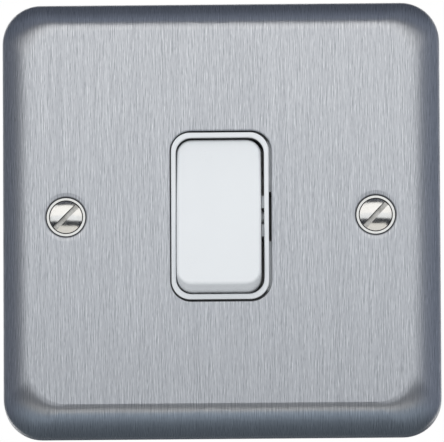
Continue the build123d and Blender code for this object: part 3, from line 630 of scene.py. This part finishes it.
front_glow = glow("glow_front", (0.80, 0.88, 1.0), 0.05)
back_glow = glow("glow_back", BLUISH, 0.12)
table_glow = glow("glow_table", WARM, 0.80)
panel("flag_top", (0, flag_y, FLAG_HALF), wide, along_y, top_glow)
panel("flag_left", (-FLAG_HALF, flag_y, 0.1), along_y, tall, left_glow)
panel("flag_right", (FLAG_HALF, flag_y, 0.1), along_y, tall, right_glow)
panel("flag_under", (0, 0.65, -0.345), wide, (0, 1.85, 0), under_glow)
panel("flag_back", (0, 2.5, -0.1), (0.5, 0, 0), (0, 0, 0.245), back_glow)
panel("table_front", (0, -1.19, -0.304), wide, (0, 0, 0.039), table_glow)
panel("table_top", (0, -0.92, -0.343), wide, (0, 0.27, 0), table_glow)
panel("flag_front", (0, -1.2, 0.1), wide, tall, front_glow)

SKY_AZIMUTHS = (-40, 38)
SKY_DISTANCE = 0.5


def sky_panel(name, elevations, level, colour):
    """A light panel square to the object that fills the named angles, seen from the object."""
    left, right = (math.tan(math.radians(a)) * SKY_DISTANCE for a in SKY_AZIMUTHS)
    low, high = (math.tan(math.radians(e)) * SKY_DISTANCE for e in elevations)
    centre = ((left + right) / 2, -SKY_DISTANCE, (low + high) / 2)
    across = ((right - left) / 2, 0, 0)
    up = (0, 0, (high - low) / 2)
    panel(name, centre, across, up, glow(name, colour, level), diffuse=True)


sky_panel("softbox", (13, 37), 1.10, (1, 1, 1))
sky_panel("softbox_skirt", (0.0, 13), 0.97, (0.935, 0.965, 1.0))


def area_lamp(name, width, height, energy, place):
    """A soft lamp turned towards the object, left out of its reflections."""
    light = bpy.data.lights.new(name, "AREA")
    light.shape = "RECTANGLE"
    light.size = width
    light.size_y = height
    light.energy = energy
    lamp = add_object(name, light)
    lamp.location = place
    lamp.rotation_euler = (-Vector(place)).to_track_quat("-Z", "Y").to_euler()
    lamp.visible_glossy = False


area_lamp("key", 0.7, 0.5, 1.35, (-0.12, -0.50, 0.60))
area_lamp("fill", 0.7, 0.3, 0.3, (0.0, -0.55, -0.30))

FLOOR_Z = -3.4
FLOOR_REACH = 10
pale = bpy.data.materials.new("pale_floor")
pale.use_nodes = True
pale_shader = pale.node_tree.nodes["Principled BSDF"]
pale_shader.inputs["Base Color"].default_value = (0.86, 0.86, 0.86, 1)
pale_shader.inputs["Roughness"].default_value = 0.9
floor_mesh = bpy.data.meshes.new("floor")
floor_corners = [(x * FLOOR_REACH, y * FLOOR_REACH, FLOOR_Z) for x, y in ((-1, -1), (1, -1), (1, 1), (-1, 1))]
floor_mesh.from_pydata(floor_corners, [], [(0, 1, 2, 3)])
floor_mesh.materials.append(pale)
floor = add_object("floor", floor_mesh)

ROOM_LEVEL = 0.80
world = bpy.data.worlds.new("studio")
scene.world = world
world.use_nodes = True
sky = world.node_tree
background = sky.nodes["Background"]
background.inputs["Color"].default_value = (1, 1, 1, 1)
path = sky.nodes.new("ShaderNodeLightPath")
seen_or_glossy = sky.nodes.new("ShaderNodeMath")
seen_or_glossy.operation = "MAXIMUM"
full_white = sky.nodes.new("ShaderNodeMath")
full_white.operation = "MAXIMUM"
level = sky.nodes.new("ShaderNodeMapRange")
level.inputs["To Min"].default_value = ROOM_LEVEL
level.inputs["To Max"].default_value = 1.0
sky.links.new(path.outputs["Is Camera Ray"], seen_or_glossy.inputs[0])
sky.links.new(path.outputs["Is Glossy Ray"], seen_or_glossy.inputs[1])
sky.links.new(seen_or_glossy.outputs[0], full_white.inputs[0])
sky.links.new(path.outputs["Is Transmission Ray"], full_white.inputs[1])
sky.links.new(full_white.outputs[0], level.inputs["Value"])
sky.links.new(level.outputs[0], background.inputs["Strength"])

AZIMUTH = math.radians(1.4)
ELEVATION = math.radians(-8.8)
ROLL = math.radians(0.28)
DISTANCE = 3.5
FIELD = 0.0864
SENSOR = 36.0
TARGET = Vector((0.00022, -0.009, -0.00102))
outward = Vector((
    math.sin(AZIMUTH) * math.cos(ELEVATION), -math.cos(AZIMUTH) * math.cos(ELEVATION), math.sin(ELEVATION),
))
lens = bpy.data.cameras.new("camera")
lens.sensor_width = SENSOR
lens.lens = SENSOR * DISTANCE / FIELD
lens.clip_start = 0.01
lens.clip_end = 20.0
camera = add_object("camera", lens)
turn = (-outward).to_track_quat("-Z", "Y").to_matrix().to_4x4()
camera.matrix_world = Matrix.Translation(TARGET + outward * DISTANCE) @ turn @ Matrix.Rotation(-ROLL, 4, "Z")
scene.camera = camera
scene.view_settings.view_transform = "Standard"
